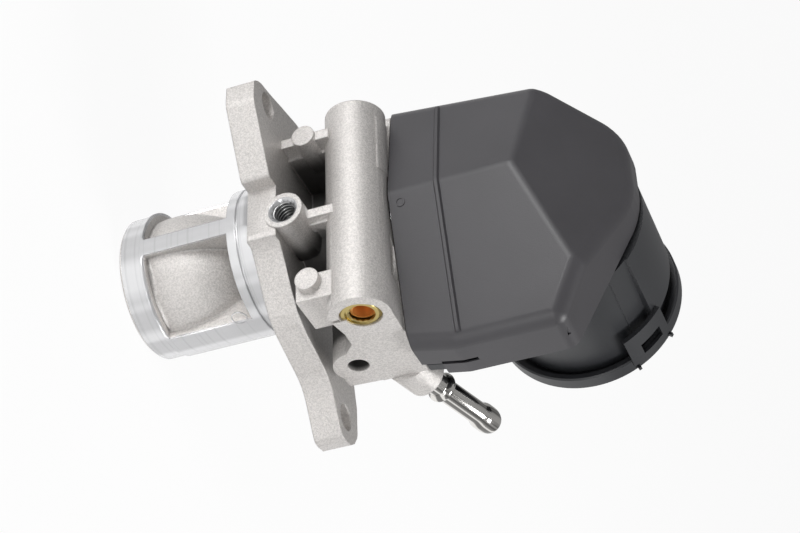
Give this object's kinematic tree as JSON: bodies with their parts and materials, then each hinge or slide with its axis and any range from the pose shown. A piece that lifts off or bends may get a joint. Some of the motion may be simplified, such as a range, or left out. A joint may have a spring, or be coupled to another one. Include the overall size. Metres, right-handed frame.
{
  "type": "egr valve",
  "caption": "Electric exhaust gas recirculation valve: a slotted spigot with a poppet, a cast flange, and a geared motor under a black hood.",
  "frame": {"origin": "on the valve axis, in the flange's mounting face", "axes": "+Z along the valve axis toward the actuator; -Y toward the face with the threaded boss and the tubular boss"},
  "size_m": [0.0948, 0.1084, 0.1525],
  "materials": {
    "cast_aluminium": "as cast",
    "zinc_plug": "yellow zinc",
    "chrome_pipe": "mirror",
    "steel": "turned",
    "heat_steel": "ground",
    "sinter_bronze": "sintered",
    "seal_rubber": "matte",
    "spring_steel": "drawn",
    "gear_plastic": "satin",
    "black_plastic": "fine grain",
    "motor_steel": "laminated",
    "brass_gear": "machined",
    "circuit": "satin",
    "gold_pin": "plated"
  },
  "bodies": {
    "base": {"valve_body": "cast_aluminium", "core_plug": "zinc_plug", "coolant_pipe": "chrome_pipe", "valve_seat_ring": "heat_steel", "stem_guide_bush": "sinter_bronze", "stem_seal": "seal_rubber", "seal_cap": "steel", "return_spring": "spring_steel", "output_gear_shaft": "steel", "intermediate_shaft": "steel", "motor_stator": "motor_steel", "motor_front_bearing": "steel", "motor_rear_bearing": "steel", "cover_hood": "black_plastic", "actuator_housing": "black_plastic", "housing_gasket": "seal_rubber", "actuator_screw_1": "steel", "actuator_screw_2": "steel", "actuator_screw_3": "steel", "actuator_screw_4": "steel", "motor_cap": "black_plastic", "connector_pin_1": "gold_pin", "connector_pin_2": "gold_pin", "connector_pin_3": "gold_pin", "connector_pin_4": "gold_pin", "connector_pin_5": "gold_pin", "sensor_board": "circuit"},
    "valve": {"poppet_valve": "heat_steel", "spring_retainer": "steel", "stem_link": "steel", "roller_pin": "steel"},
    "roller": {"cam_roller": "steel"},
    "output": {"output_gear": "gear_plastic"},
    "intermediate": {"intermediate_gear": "gear_plastic"},
    "motor": {"motor_rotor": "motor_steel", "motor_pinion": "brass_gear"}
  },
  "joints": [
    {"name": "output_turn", "type": "hinge", "parent": "base", "child": "output", "pos_m": [0, 0.008, 0.065], "axis": [0, -1, 0], "range_deg": [0, 121]},
    {"name": "valve_slide", "type": "slide", "parent": "base", "child": "valve", "axis": [0, 0, -1], "range_m": [0, 0.0066], "stiffness_N_per_m": 300, "springref_m": -0.004, "deforming": ["return_spring"]},
    {"name": "roller_spin", "type": "hinge", "parent": "valve", "child": "roller", "pos_m": [0, 0.0065, 0.057], "axis": [0, -1, 0], "continuous": true},
    {"name": "intermediate_turn", "type": "hinge", "parent": "base", "child": "intermediate", "pos_m": [0.01237, 0.0095, 0.08556], "axis": [0, -1, 0], "range_deg": [-482, 0]},
    {"name": "motor_turn", "type": "hinge", "parent": "base", "child": "motor", "pos_m": [0, 0.025, 0.0782], "axis": [0, -1, 0], "range_deg": [0, 1443]}
  ],
  "couplings": [
    {"joint": "output_turn", "follows": "valve_slide", "rad_per_m": 317.46},
    {"joint": "intermediate_turn", "follows": "valve_slide", "rad_per_m": -1269.8},
    {"joint": "motor_turn", "follows": "valve_slide", "rad_per_m": 3809.5}
  ]
}
